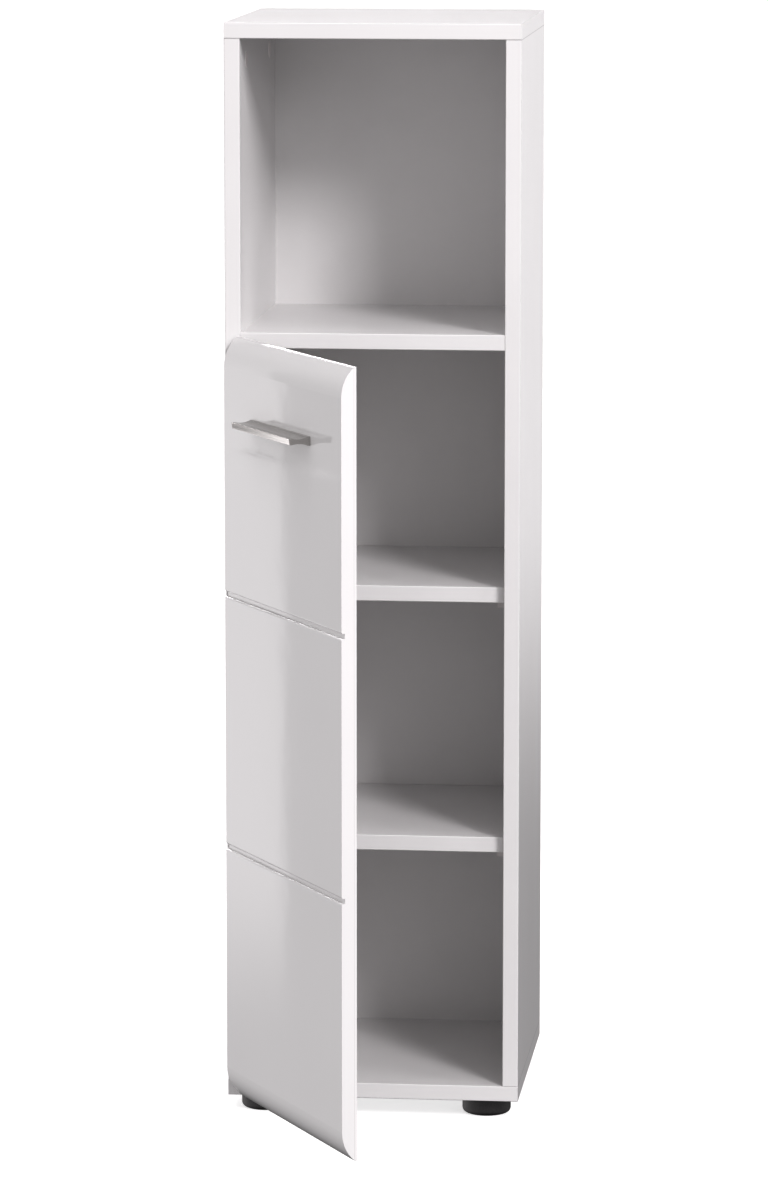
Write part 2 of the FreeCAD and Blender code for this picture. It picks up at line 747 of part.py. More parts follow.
# Handle: a straight bar of dog-bone section, with a broad base, a waist and a lip
HANDLE_LEVEL = f"({DOOR_BOTTOM} + {DOOR_HEIGHT} - handle_drop)"
HANDLE_MIDDLE = f"({DOOR_WIDTH} / 2 - pivot_edge)"


def handle_screw_spots():
    """Where the handle's screws enter the back of the door."""
    places = [f"{HANDLE_MIDDLE} {sign} handle_screw_spacing / 2" for sign in ("-", "+")]
    return [(across, "pivot_depth", HANDLE_LEVEL) for across in places]


def arc_radius(run, drop):
    """The radius of an arc that leaves its level by drop over a run."""
    return f"(({run} * {run} + {drop} * {drop}) / (2 * {drop}))"


def handle_bar():
    """The handle, drawn along its length, with a blind hole for each screw."""
    middle, base, lip = "handle_base_height / 2", "handle_base_height", "handle_lip_height / 2"
    waist = "handle_waist / 2"
    waist_place = "(handle_projection - handle_waist_distance)"
    base_start = "(handle_projection - handle_base_thickness)"
    run_to_base, run_to_lip = f"({base_start} - {waist_place})", f"({waist_place} - handle_lip_thickness)"
    drop_to_base = "((handle_base_height - handle_waist) / 2)"
    drop_to_lip = "((handle_lip_height - handle_waist) / 2)"
    base_radius = arc_radius(run_to_base, drop_to_base)
    lip_radius = arc_radius(run_to_lip, drop_to_lip)
    corners = [
        ("0", f"{middle} - {lip}"),
        ("handle_lip_thickness", f"{middle} - {lip}", waist_place, f"{middle} - {waist} - {lip_radius}", -1),
        (waist_place, f"{middle} - {waist}", waist_place, f"{middle} - {waist} - {base_radius}", -1),
        (base_start, "0"),
        ("handle_projection", "0"),
        ("handle_projection", base),
        (base_start, base, waist_place, f"{middle} + {waist} + {base_radius}", -1),
        (waist_place, f"{middle} + {waist}", waist_place, f"{middle} + {waist} + {lip_radius}", -1),
        ("handle_lip_thickness", f"{middle} + {lip}"),
        ("0", f"{middle} + {lip}"),
    ]
    blank = padded("handle_blank", "YZ_Plane", corners, "handle_length")
    lip_front = f"{DOOR_FRONT} - handle_projection"
    put(blank, (f"{HANDLE_MIDDLE} - handle_length / 2", lip_front, f"{HANDLE_LEVEL} - {middle}"))
    tools = []
    for across, _, level in handle_screw_spots():
        size, spot = hole("handle_screw_diameter"), (across, DOOR_FRONT, level)
        tools.append(bore("handle_thread", size, "handle_screw_bite + hole_gap", spot, TO_FRONT))
    return cut("handle", blank, tools)


on_door(door_board(), "door_panel")
on_door(handle_bar(), "handle")
handle_screw = screw("handle_screw", "handle_screw", "door_thickness + handle_screw_bite")
handle_places = [(spot, TO_REAR) for spot in handle_screw_spots()]
on_door(group("handle_screws", handle_screw, handle_places), "handle_screws")

# Bumpers on the back of the door, along its free edge
bumper = turned(
    "bumper",
    [
        ("0", "0"),
        ("bumper_diameter / 2", "0"),
        ("bumper_diameter / 2", "bumper_thickness - bumper_chamfer"),
        ("bumper_diameter / 2 - bumper_chamfer", "bumper_thickness"),
        ("0", "bumper_thickness"),
    ],
)
bumper_across = f"{DOOR_WIDTH} - pivot_edge - bumper_inset"
bumper_places = [((bumper_across, "pivot_depth", level), TO_REAR) for level in BUMPER_LEVELS]
on_door(group("door_bumpers", bumper, bumper_places), "door_bumpers")


# Hinge parts that swing with the door: the cup with its screws, the pivot and the closing spring
def hinge_cup(name):
    """A cast cup let into the door, with a screwed-on wing and a slot for the arm's tongue."""
    barrel = rod(f"{name}_barrel", "cup_diameter", "cup_depth", (CUP_MIDDLE, "pivot_depth", "0"), TO_FRONT)
    left, right = "-wing_width / 2", "wing_width / 2"
    low, high = "-wing_length / 2", "wing_length / 2"
    wing_corners = [
        (f"{left} + wing_round", low),
        (f"{right} - wing_round", low, f"{right} - wing_round", f"{low} + wing_round", 1),
        (right, f"{low} + wing_round"),
        (right, f"{high} - wing_round", f"{right} - wing_round", f"{high} - wing_round", 1),
        (f"{right} - wing_round", high),
        (f"{left} + wing_round", high, f"{left} + wing_round", f"{high} - wing_round", 1),
        (left, f"{high} - wing_round"),
        (left, f"{low} + wing_round", f"{left} + wing_round", f"{low} + wing_round", 1),
    ]
    wing = padded(f"{name}_wing", "XZ_Plane", wing_corners, "wing_thickness", reverse=True)
    put(wing, (f"{CUP_MIDDLE} + wing_shift", "pivot_depth", "0"))
    slot_start = "(-eye_diameter / 2 - slot_heel)"
    slot_size = (
        f"arm_reach + arm_metal + slot_play - {slot_start}",
        "cup_depth - cup_floor + wing_thickness + overrun",
        "slot_width",
    )
    tools = [
        box(f"{name}_slot", slot_size, (slot_start, CUP_FLOOR, "-slot_width / 2")),
        rod(
            f"{name}_pivot_hole",
            hole("pivot_diameter"),
            "pivot_length + 2 * hole_gap",
            ("0", "0", "-pivot_length / 2 - hole_gap"),
        ),
    ]
    for sign in ("+", "-"):
        spot = (f"{CUP_MIDDLE} + wing_shift", "pivot_depth + wing_thickness", f"{sign}cup_screw_spacing / 2")
        size = hole("cup_screw_diameter")
        tools.append(bore(f"{name}_screw_hole", size, "wing_thickness + overrun", spot, TO_FRONT))
    return cut(name, joined(f"{name}_blank", [barrel, wing]), tools)


# Hinge parts that stay on the carcass: the arm, its plate and their screws
def hinge_arm(name):
    """A bent arm: an eye round the pivot, a tongue through the cup, and a channel over the plate."""
    half = "tongue_thickness / 2"
    outside = "(arm_reach + arm_metal)"
    outer_bend = "(arm_bend + arm_metal)"
    neck_end = f"({CARCASS_FRONT} + arm_start + arm_cheek)"
    tongue_corners = [
        ("0", f"-{half}"),
        (f"{outside} - {outer_bend}", f"-{half}", f"{outside} - {outer_bend}", f"{outer_bend} - {half}", 1),
        (outside, f"{outer_bend} - {half}"),
        (outside, neck_end),
        ("arm_reach", neck_end),
        ("arm_reach", f"{half} + arm_bend", "arm_reach - arm_bend", f"{half} + arm_bend", -1),
        ("arm_reach - arm_bend", half),
        ("0", half),
    ]
    channel_start = f"({CARCASS_FRONT} + arm_start)"
    channel_length = "(arm_length - arm_start)"
    channel_size = ("arm_metal", channel_length, "arm_width")
    cheek_low = f"({SIDE_FACE} + plate_thickness + arm_cheek_gap)"
    solids = [
        rod(f"{name}_eye", "eye_diameter", "tongue_width", ("0", "0", "-tongue_width / 2")),
        padded(f"{name}_tongue", "XY_Plane", tongue_corners, "tongue_width", midplane=True),
        box(f"{name}_back", channel_size, ("arm_reach", channel_start, "-arm_width / 2")),
    ]
    for level in ("-arm_width / 2", "arm_width / 2 - arm_cheek"):
        size = (f"{outside} - {cheek_low}", channel_length, "arm_cheek")
        solids.append(box(f"{name}_cheek", size, (cheek_low, channel_start, level)))
    tools = [
        rod(
            f"{name}_pivot_hole",
            "pivot_diameter + 2 * pivot_gap",
            "tongue_width + 2 * overrun",
            ("0", "0", "-tongue_width / 2 - overrun"),
        )
    ]
    for place in ARM_SCREW_PLACES:
        size = hole("arm_screw_diameter")
        tools.append(bore(f"{name}_screw_hole", size, "arm_metal + overrun", (outside, place, "0"), TO_LEFT))
    return cut(name, joined(f"{name}_blank", solids), tools)


def hinge_plate(name):
    """A cross plate on the side board, with a rib that carries the arm."""
    rib_width = "(arm_width - 2 * arm_cheek - 2 * plate_rib_play)"
    base_size = ("plate_thickness", "plate_width", "plate_length")
    base_spot = (SIDE_FACE, f"{PLATE_MIDDLE} - plate_width / 2", "-plate_length / 2")
    rib_size = (f"arm_reach - {SIDE_FACE}", "plate_rib_length", rib_width)
    rib_spot = (SIDE_FACE, f"{PLATE_MIDDLE} - plate_rib_length / 2", f"-{rib_width} / 2")
    base, rib = box(f"{name}_base", base_size, base_spot), box(f"{name}_rib", rib_size, rib_spot)
    blank = joined(f"{name}_blank", [base, rib])
    tools = []
    for sign in ("+", "-"):
        spot = (f"{SIDE_FACE} + plate_thickness", PLATE_MIDDLE, f"{sign}plate_screw_spacing / 2")
        size = hole("plate_screw_diameter")
        tools.append(bore(f"{name}_board_hole", size, "plate_thickness + overrun", spot, TO_LEFT))
    for place in ARM_SCREW_PLACES:
        size, spot = hole("arm_screw_diameter"), ("arm_reach", place, "0")
        tools.append(bore(f"{name}_arm_hole", size, "arm_screw_bite + end_play", spot, TO_LEFT))
    return cut(name, blank, tools)


pivot = rod("pivot", "pivot_diameter", "pivot_length", ("0", "0", "0"))
spring = box("spring", ("spring_length", "spring_thickness", "slot_width - 2 * slot_play"), ("0", "0", "0"))
cup_screw = screw("cup_screw", "cup_screw", "wing_thickness + cup_screw_bite")
plate_screw = screw("plate_screw", "plate_screw", "plate_thickness + plate_screw_bite")
arm_screw = screw("arm_screw", "arm_screw", "arm_metal + arm_screw_bite")


def hinge(side, level):
    """One hinge, at a level above the floor."""
    name = f"{side}_hinge"
    on_door(hinge_cup(f"{name}_cup"), f"{name}_cup", level)
    pivot_spot = ("0", "0", "-pivot_length / 2")
    on_door(group(f"{name}_pivot", pivot, [(pivot_spot, UP)]), f"{name}_pivot", level)
    spring_spot = ("eye_diameter / 2 + slot_play", CUP_FLOOR, "slot_play - slot_width / 2")
    on_door(group(f"{name}_spring", spring, [(spring_spot, UP)]), f"{name}_spring", level)
    cup_places, plate_places = [], []
    for sign in ("+", "-"):
        across = f"{CUP_MIDDLE} + wing_shift"
        cup_spot = (across, "pivot_depth + wing_thickness", f"{sign}cup_screw_spacing / 2")
        cup_places.append((cup_spot, TO_REAR))
        plate_spot = (f"{SIDE_FACE} + plate_thickness", PLATE_MIDDLE, f"{sign}plate_screw_spacing / 2")
        plate_places.append((plate_spot, TO_RIGHT))
    arm_places = [(("arm_reach + arm_metal", place, "0"), TO_RIGHT) for place in ARM_SCREW_PLACES]
    on_door(group(f"{name}_cup_screws", cup_screw, cup_places), f"{name}_cup_screws", level)
    at_hinge(hinge_arm(f"{name}_arm"), f"{name}_arm", level)
    at_hinge(hinge_plate(f"{name}_plate"), f"{name}_plate", level)
    at_hinge(group(f"{name}_plate_screws", plate_screw, plate_places), f"{name}_plate_screws", level)
    at_hinge(group(f"{name}_arm_screws", arm_screw, arm_places), f"{name}_arm_screws", level)


for side, level in HINGE_LEVELS.items():
    hinge(side, level)

# Check the document, then write one file for each piece
doc.recompute()
for item in doc.Objects:
    if {"Invalid", "Error"} & set(item.State):
        raise RuntimeError(f"{item.Label} could not be made: {item.State}")
for item in nodes:
    if item.Shape.isNull() or not item.Shape.isValid():
        raise RuntimeError(f"{item.Label} has no valid shape")
os.makedirs("parts", exist_ok=True)
for item in nodes:
    item.Shape.exportStep(f"parts/{item.Label}.step")
    print(f"{item.Label}: {len(item.Shape.Solids)} solids, {item.Shape.Volume:.0f} mm3")
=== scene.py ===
# %% [markdown]
# # A bathroom cabinet, dressed for its picture
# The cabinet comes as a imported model: 47 rigid nodes on two bodies, the carcass and the door, which
# stands open by 60 degrees. The solids already have the right shapes, so this lesson is mostly about
# finishes: what each material is, how its surface was made, and how a few shader nodes tell that to
# the eye.

# %% Load the frame
import math
import bpy
import numpy as np
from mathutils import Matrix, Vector


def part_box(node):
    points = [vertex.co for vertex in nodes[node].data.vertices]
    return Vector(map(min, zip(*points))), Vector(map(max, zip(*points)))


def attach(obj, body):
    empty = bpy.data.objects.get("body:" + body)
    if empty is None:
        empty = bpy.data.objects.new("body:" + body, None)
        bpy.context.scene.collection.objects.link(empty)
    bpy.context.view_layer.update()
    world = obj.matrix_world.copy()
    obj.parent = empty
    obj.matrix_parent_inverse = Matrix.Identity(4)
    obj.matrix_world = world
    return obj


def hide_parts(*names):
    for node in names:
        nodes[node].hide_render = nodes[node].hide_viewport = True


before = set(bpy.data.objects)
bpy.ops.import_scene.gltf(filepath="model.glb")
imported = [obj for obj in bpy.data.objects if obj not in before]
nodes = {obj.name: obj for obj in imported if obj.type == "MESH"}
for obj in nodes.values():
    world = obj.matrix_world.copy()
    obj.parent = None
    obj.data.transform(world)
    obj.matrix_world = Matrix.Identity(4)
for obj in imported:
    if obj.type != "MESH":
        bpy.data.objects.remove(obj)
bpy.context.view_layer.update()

scene = bpy.context.scene

# %% [markdown]
# ## Camera
# The picture was taken from a little to the right and above, from far away, so edges that run away
# from us hardly shrink. A long lens five and a half metres away gives that. The camera looks at a point
# on the carcass front, and a track quaternion turns it there without any angles to work out by hand.
# The picture has more contrast than plain light, and the view's gamma takes care of that.

# %% Camera
CARCASS_FRONT = -0.0172423                      # where the boards' front edges lie, in y
EYE = Vector((0.5745, -5.4105, 1.3967))
AIM = Vector((0.0118, CARCASS_FRONT, 0.5497))
SENSOR_WIDTH, FOCAL_LENGTH = 36.0, 164.83       # in millimetres
CONTRAST = 1.4                                  # the picture's tone is its light to this power

lens = bpy.data.cameras.new("long_lens")
lens.sensor_width = SENSOR_WIDTH
lens.lens = FOCAL_LENGTH
camera = bpy.data.objects.new("camera", lens)
camera.location = EYE
camera.rotation_euler = (AIM - EYE).to_track_quat("-Z", "Y").to_euler()
scene.collection.objects.link(camera)
scene.camera = camera
scene.view_settings.view_transform = "Standard"
scene.view_settings.gamma = 1.0 / CONTRAST
print("camera distance:", round((AIM - EYE).length, 3), "m")

# %% [markdown]
# ## Small tools for materials
# Colours are picked as sRGB hex values, as on a paint card, but shaders count in linear light, so one
# function turns the first into the second. Another fills a node's sockets: plain values are set, and
# outputs of other nodes are linked. A third adds a node and fills it. Pattern sizes are thought of in
# millimetres, and a texture's scale is how many of them fit in a metre.

# %% Colour, node and pattern size
MM = 0.001
MIX_A, MIX_B, MIX_OUT = 6, 7, 2     # the colour sockets of a Mix node


def linear(hex_colour):
    """An sRGB hex colour as linear RGBA: each channel is undone from the sRGB curve."""
    srgb = np.array([int(hex_colour[i:i + 2], 16) for i in (1, 3, 5)]) / 255.0
    light = np.where(srgb <= 0.04045, srgb / 12.92, ((srgb + 0.055) / 1.055) ** 2.4)
    return (*light.tolist(), 1.0)


def fill(tree, node, inputs):
    """Fills a node's sockets: a plain value is set, and the output of another node is linked."""
    for socket, value in dict(inputs).items():
        if isinstance(value, bpy.types.NodeSocket):
            tree.links.new(value, node.inputs[socket])
        else:
            node.inputs[socket].default_value = value


def add(tree, kind, inputs=(), **settings):
    """One new node: settings are its own properties, and inputs fill its sockets."""
    node = tree.nodes.new("ShaderNode" + kind)
    for name, value in settings.items():
        setattr(node, name, value)
    fill(tree, node, inputs)
    return node


def per_metre(millimetres):
    """A texture's scale when one feature of its pattern is this wide."""
    return 1000.0 / millimetres


def new_material(name):
    """A new material, its node tree and its Principled shader."""
    material = bpy.data.materials.new(name)
    material.use_nodes = True
    return material, material.node_tree, material.node_tree.nodes["Principled BSDF"]


print("satin white is", [round(channel, 3) for channel in linear("#E6E5E5")])

# %% [markdown]
# ## White melamine board
# The carcass is chipboard with a printed white paper and melamine resin pressed on both faces. The
# press plate leaves a fine pearl, so the sheen is soft and a little uneven. The front edges have a
# glued plastic band, which shows a hair-thin joint to the face. At the rear the boards are sawn and
# left bare, as such furniture usually is. The masks come from the point and the normal in the board's
# own space, so they stay on the board when it moves.

# %% White melamine board
RESIN_IOR = 1.5                             # melamine, gloss film and paint are all close to this
BAND = 0.8 * MM                             # thickness of the edge band
GLUE_LINE, GLUE_SHADE = 0.5 * MM, 0.25      # the band's joint: 0.3 mm wide, drawn wider to show
BUTT_LINE, BUTT_SHADE = 0.9 * MM, 0.45      # the hairline where a side meets the top and the bottom
BUTT_LEVELS = (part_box("left_side")[0].z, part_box("left_side")[1].z)


def melamine(name, front):
    """Melamine-faced board whose banded edge lies at y = front: pearl, joints and bare rear edge."""
    material, tree, shader = new_material(name)
    space = add(tree, "TexCoord").outputs
    point = space["Object"]
    place = add(tree, "SeparateXYZ", {0: point}).outputs
    face = add(tree, "SeparateXYZ", {0: space["Normal"]}).outputs
    # a broad, very faint cloudiness of the paper under the resin
    cloud = add(tree, "TexNoise", {"Vector": point, "Scale": per_metre(90), "Detail": 2.0}).outputs[0]
    white = add(tree, "Mix", {0: cloud, MIX_A: linear("#E4E3E3"), MIX_B: linear("#E8E7E7")},
                data_type="RGBA").outputs[MIX_OUT]
    # dust and shade in the joints: behind the band, and on upright faces where two boards meet
    glued = add(tree, "Math", {0: place["Y"], 1: front + BAND, 2: GLUE_LINE / 2.0},
                operation="COMPARE").outputs[0]
    joint = add(tree, "Math", {0: glued, 1: GLUE_SHADE}, operation="MULTIPLY").outputs[0]
    lying = add(tree, "Math", {0: face["Z"]}, operation="ABSOLUTE").outputs[0]
    upright = add(tree, "MapRange", {0: lying, 1: 0.6, 2: 0.4, 4: BUTT_SHADE}).outputs[0]
    for level in BUTT_LEVELS:
        butted = add(tree, "Math", {0: place["Z"], 1: level, 2: BUTT_LINE / 2.0},
                     operation="COMPARE").outputs[0]
        joint = add(tree, "Math", {0: butted, 1: upright, 2: joint},
                    operation="MULTIPLY_ADD").outputs[0]
    banded = add(tree, "Mix", {0: joint, MIX_A: white, MIX_B: linear("#8A8787")},
                 data_type="RGBA").outputs[MIX_OUT]
    # sawn chipboard where a face looks to the rear: flat chips about 3 mm long, from straw to brown
    sawn = add(tree, "MapRange", {0: face["Y"], 1: 0.8, 2: 0.9}).outputs[0]
    chips = add(tree, "TexVoronoi", {"Vector": point, "Scale": per_metre(2.6), "Randomness": 1.0})
    shade = add(tree, "SeparateXYZ", {0: chips.outputs["Color"]}).outputs["X"]
    chip = add(tree, "Mix", {0: shade, MIX_A: linear("#A98B63"), MIX_B: linear("#E6D5B4")},
               data_type="RGBA").outputs[MIX_OUT]
    colour = add(tree, "Mix", {0: sawn, MIX_A: banded, MIX_B: chip}, data_type="RGBA").outputs[MIX_OUT]
    # the pearl is about 0.6 mm wide, drawn 2.2 mm wide so that it shows at all
    pearl = add(tree, "TexNoise", {"Vector": point, "Scale": per_metre(2.2), "Detail": 2.0}).outputs[0]
    sheen = add(tree, "MapRange", {0: pearl, 1: 0.3, 2: 0.7, 3: 0.30, 4: 0.38}).outputs[0]
    dull = add(tree, "Math", {0: sawn, 1: 0.5, 2: sheen}, operation="MULTIPLY_ADD").outputs[0]
    relief = add(tree, "Bump", {"Height": pearl, "Strength": 0.12, "Distance": 0.1 * MM})
    fill(tree, shader, {"Base Color": colour, "Roughness": dull, "Normal": relief.outputs["Normal"],
                        "IOR": RESIN_IOR})
    return material


shelf_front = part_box("upper_shelf")[0].y
carcass_board = melamine("white_melamine_board", CARCASS_FRONT)
shelf_board = melamine("white_melamine_shelf", shelf_front)
print("loose shelves stand back", round((shelf_front - CARCASS_FRONT) / MM, 1), "mm")

# %% [markdown]
# ## Gloss door foil
# The door is fibreboard with a thick gloss film drawn over its front, its rolled ends and its edges,
# while its back is plain satin white. A film over board is never quite flat: long shallow waves make a
# mirrored edge run slightly crooked, and that, more than the colour, says high gloss. The film ends on
# the edges, a couple of millimetres from the back.

# %% Gloss door foil
HINGE_AXIS = (-0.140, -0.0299423)
DOOR_BACK = (0.8660254, 0.5, 0.0)           # the way the door's back faces at rest
FILM_END, BACK_FACE = 6.6 * MM, 9.2 * MM    # from the hinge axis towards the back
FILM_LINE, FILM_SHADE = 0.6 * MM, 0.3       # the line where the film ends


def door_film(name):
    """Gloss white film over fibreboard: mirror-like front with long waves, satin back, film line."""
    material, tree, shader = new_material(name)
    space = add(tree, "TexCoord").outputs
    point = space["Object"]
    back = add(tree, "VectorMath", {0: space["Normal"], 1: DOOR_BACK},
               operation="DOT_PRODUCT").outputs["Value"]
    satin = add(tree, "MapRange", {0: back, 1: 0.9, 2: 0.95}).outputs[0]
    # the film's end lies at one depth, measured along the way that the back faces
    axis_depth = HINGE_AXIS[0] * DOOR_BACK[0] + HINGE_AXIS[1] * DOOR_BACK[1]
    depth = add(tree, "VectorMath", {0: point, 1: DOOR_BACK}, operation="DOT_PRODUCT").outputs["Value"]
    line = add(tree, "Math", {0: depth, 1: axis_depth + FILM_END, 2: FILM_LINE / 2.0},
               operation="COMPARE").outputs[0]
    faint = add(tree, "Math", {0: line, 1: FILM_SHADE}, operation="MULTIPLY").outputs[0]
    cloud = add(tree, "TexNoise", {"Vector": point, "Scale": per_metre(120), "Detail": 1.0}).outputs[0]
    white = add(tree, "Mix", {0: cloud, MIX_A: linear("#EAE9E9"), MIX_B: linear("#EDECEC")},
                data_type="RGBA").outputs[MIX_OUT]
    lined = add(tree, "Mix", {0: faint, MIX_A: white, MIX_B: linear("#BBB9B9")},
                data_type="RGBA").outputs[MIX_OUT]
    colour = add(tree, "Mix", {0: satin, MIX_A: lined, MIX_B: linear("#E6E5E5")},
                 data_type="RGBA").outputs[MIX_OUT]
    # waves 30 mm long and about two hundredths of a millimetre high, and a finer orange peel of 5 mm
    waves = add(tree, "TexNoise", {"Vector": point, "Scale": per_metre(30), "Detail": 1.0}).outputs[0]
    peel = add(tree, "TexNoise", {"Vector": point, "Scale": per_metre(5), "Detail": 1.0}).outputs[0]
    height = add(tree, "Math", {0: peel, 1: 0.06, 2: waves}, operation="MULTIPLY_ADD").outputs[0]
    relief = add(tree, "Bump", {"Height": height, "Strength": 0.5, "Distance": 0.1 * MM})
    rough = add(tree, "MapRange", {0: satin, 3: 0.055, 4: 0.36}).outputs[0]
    fill(tree, shader, {"Base Color": colour, "Roughness": rough, "Normal": relief.outputs["Normal"],
                        "IOR": RESIN_IOR})
    return material


gloss_door = door_film("gloss_white_door_film")
print("door film ends", round((BACK_FACE - FILM_END) / MM, 1), "mm from the back")

# %% [markdown]
# ## Hardboard back
# The back is 3 mm hardboard. The side that is seen through the niche is painted white, a little duller
# than the boards. Its other side is bare: brown pressed fibre, darker specks and the mesh of the press
# wire.

# %% Hardboard back
def hardboard(name):
    """Painted white towards the front, bare pressed fibre towards the rear, told apart by the normal."""
    material, tree, shader = new_material(name)
    space = add(tree, "TexCoord").outputs
    point = space["Object"]
    facing = add(tree, "SeparateXYZ", {0: space["Normal"]}).outputs["Y"]
    bare = add(tree, "MapRange", {0: facing, 1: -0.5, 2: -0.4}).outputs[0]
    fibre = add(tree, "TexNoise", {"Vector": point, "Scale": per_metre(6), "Detail": 5.0,
                                   "Roughness": 0.7}).outputs[0]
    brown = add(tree, "Mix", {0: fibre, MIX_A: linear("#AE8E68"), MIX_B: linear("#D6BC96")},
                data_type="RGBA").outputs[MIX_OUT]
    cloud = add(tree, "TexNoise", {"Vector": point, "Scale": per_metre(80), "Detail": 3.0}).outputs[0]
    white = add(tree, "Mix", {0: cloud, MIX_A: linear("#E0DFDF"), MIX_B: linear("#E4E3E3")},
                data_type="RGBA").outputs[MIX_OUT]
    colour = add(tree, "Mix", {0: bare, MIX_A: white, MIX_B: brown}, data_type="RGBA").outputs[MIX_OUT]
    rough = add(tree, "MapRange", {0: bare, 3: 0.45, 4: 0.75}).outputs[0]
    # press wire: a mesh about 1 mm apart, drawn 3 mm apart
    mesh = add(tree, "TexVoronoi", {"Vector": point, "Scale": per_metre(3)}, distance="CHEBYCHEV")
    wire = add(tree, "Math", {0: mesh.outputs["Distance"], 1: bare}, operation="MULTIPLY").outputs[0]
    height = add(tree, "Math", {0: fibre, 1: 0.3, 2: wire}, operation="MULTIPLY_ADD").outputs[0]
    relief = add(tree, "Bump", {"Height": height, "Strength": 0.15, "Distance": 0.2 * MM})
    fill(tree, shader, {"Base Color": colour, "Roughness": rough, "Normal": relief.outputs["Normal"],
                        "IOR": RESIN_IOR})
    return material


back_board = hardboard("white_faced_hardboard")
print("back panel:", back_board.name)

# %% [markdown]
# ## Metals
# A metal is mostly what it mirrors, so its tone matters less than how its surface was worked. The
# handle was brushed along its length; hinges are pressed steel with a bright nickel plate; screws have
# a thin bluish zinc; cams are cast. One function makes them all: a tone, a darker tone, a roughness
# range, the grain's size along three axes, and its way.

# %% Metals
DOOR_TURN = math.radians(-60.0)     # turns the door's width onto the X axis of a pattern


def metal(name, light, dark, rough, grain, turn=0.0, relief=0.1):
    """Worked metal: a grain, in mm along three axes turned about Z, mixes its tones and roughness."""
    material, tree, shader = new_material(name)
    point = add(tree, "TexCoord").outputs["Object"]
    laid = add(tree, "Mapping", {"Vector": point, "Rotation": (0.0, 0.0, -turn)},
               vector_type="POINT").outputs[0]
    scaled = add(tree, "VectorMath", {0: laid, 1: [per_metre(size) for size in grain]},
                 operation="MULTIPLY").outputs[0]
    streak = add(tree, "TexNoise", {"Vector": scaled, "Scale": 1.0, "Detail": 3.0,
                                    "Roughness": 0.6}).outputs[0]
    part = add(tree, "MapRange", {0: streak, 1: 0.3, 2: 0.7}).outputs[0]
    colour = add(tree, "Mix", {0: part, MIX_A: linear(dark), MIX_B: linear(light)}, data_type="RGBA")
    gloss = add(tree, "MapRange", {0: part, 3: rough[1], 4: rough[0]}).outputs[0]
    bump = add(tree, "Bump", {"Height": streak, "Strength": relief, "Distance": 0.1 * MM})
    fill(tree, shader, {"Base Color": colour.outputs[MIX_OUT], "Roughness": gloss,
                        "Normal": bump.outputs["Normal"], "Metallic": 1.0})
    return material


# brushed: lines 0.2 mm wide, drawn 0.6 mm wide, and 60 mm long, which draw highlights out sideways
brushed_handle = metal("brushed_nickel", "#C9C7C5", "#AFADAB", (0.15, 0.22), (60.0, 0.6, 0.6),
                       turn=DOOR_TURN, relief=0.03)
# bright plate on pressed steel: nearly a mirror, a little cloudy
nickel_plate = metal("nickel_plated_steel", "#DAD7D2", "#C0BCB7", (0.14, 0.26), (9.0, 9.0, 9.0),
                     relief=0.05)
# thin zinc on small pressed heads: bluish, speckled and softer than nickel
zinc_screw = metal("zinc_plated_steel", "#CBD0D6", "#A4A8A6", (0.24, 0.42), (1.5, 1.5, 1.5),
                   relief=0.05)
# cast and left so: grey, grainy and dull
cast_zinc = metal("die_cast_zinc", "#B4B6B8", "#8C8E90", (0.42, 0.58), (0.8, 0.8, 0.8), relief=0.2)
# drawn and tempered wire: dark, with fine bands
spring_steel = metal("spring_steel", "#8F9194", "#63656A", (0.20, 0.34), (4.0, 4.0, 0.5))
metals = (brushed_handle, nickel_plate, zinc_screw, cast_zinc, spring_steel)
print("metals:", [finish.name for finish in metals])

# %% [markdown]
# ## Plastics and beech
# The feet are moulded in black with a spark-eroded, satin skin. Cover caps and shelf supports are
# white and smoother. The bumpers are soft, milky and let light through. The dowels are beech, with
# short dark rays along the grain.

# %% Plastics and beech
def moulded(name, light, dark, rough, skin, sockets=()):
    """Moulded plastic: an eroded skin, in millimetres, mixes two close tones and roughens the surface."""
    material, tree, shader = new_material(name)
    point = add(tree, "TexCoord").outputs["Object"]
    grain = add(tree, "TexNoise", {"Vector": point, "Scale": per_metre(skin), "Detail": 3.0}).outputs[0]
    part = add(tree, "MapRange", {0: grain, 1: 0.35, 2: 0.65}).outputs[0]
    colour = add(tree, "Mix", {0: part, MIX_A: linear(dark), MIX_B: linear(light)}, data_type="RGBA")
    gloss = add(tree, "MapRange", {0: part, 3: rough[0], 4: rough[1]}).outputs[0]
    bump = add(tree, "Bump", {"Height": grain, "Strength": 0.15, "Distance": 0.2 * MM})
    fill(tree, shader, {"Base Color": colour.outputs[MIX_OUT], "Roughness": gloss,
                        "Normal": bump.outputs["Normal"]})
    fill(tree, shader, sockets)
    return material


def beech(name):
    """Turned beech: rays, 0.5 mm wide and 5 mm long along X, darker than the pale pink-brown wood."""
    material, tree, shader = new_material(name)
    point = add(tree, "TexCoord").outputs["Object"]
    ray_size = (5.0, 0.5, 0.5)
    laid = add(tree, "VectorMath", {0: point, 1: [per_metre(size) for size in ray_size]},
               operation="MULTIPLY").outputs[0]
    rays = add(tree, "TexNoise", {"Vector": laid, "Scale": 1.0, "Detail": 2.0}).outputs[0]
    part = add(tree, "MapRange", {0: rays, 1: 0.4, 2: 0.62}).outputs[0]
    colour = add(tree, "Mix", {0: part, MIX_A: linear("#D9B88C"), MIX_B: linear("#B98F62")},
                 data_type="RGBA")
    bump = add(tree, "Bump", {"Height": rays, "Strength": 0.2, "Distance": 0.2 * MM})
    fill(tree, shader, {"Base Color": colour.outputs[MIX_OUT], "Normal": bump.outputs["Normal"],
                        "Roughness": 0.6})
    return material


# eroded mould: black with a soft grey highlight
black_foot = moulded("black_moulded_abs", "#3D3B3C", "#2E2C2D", (0.30, 0.42), 1.2)
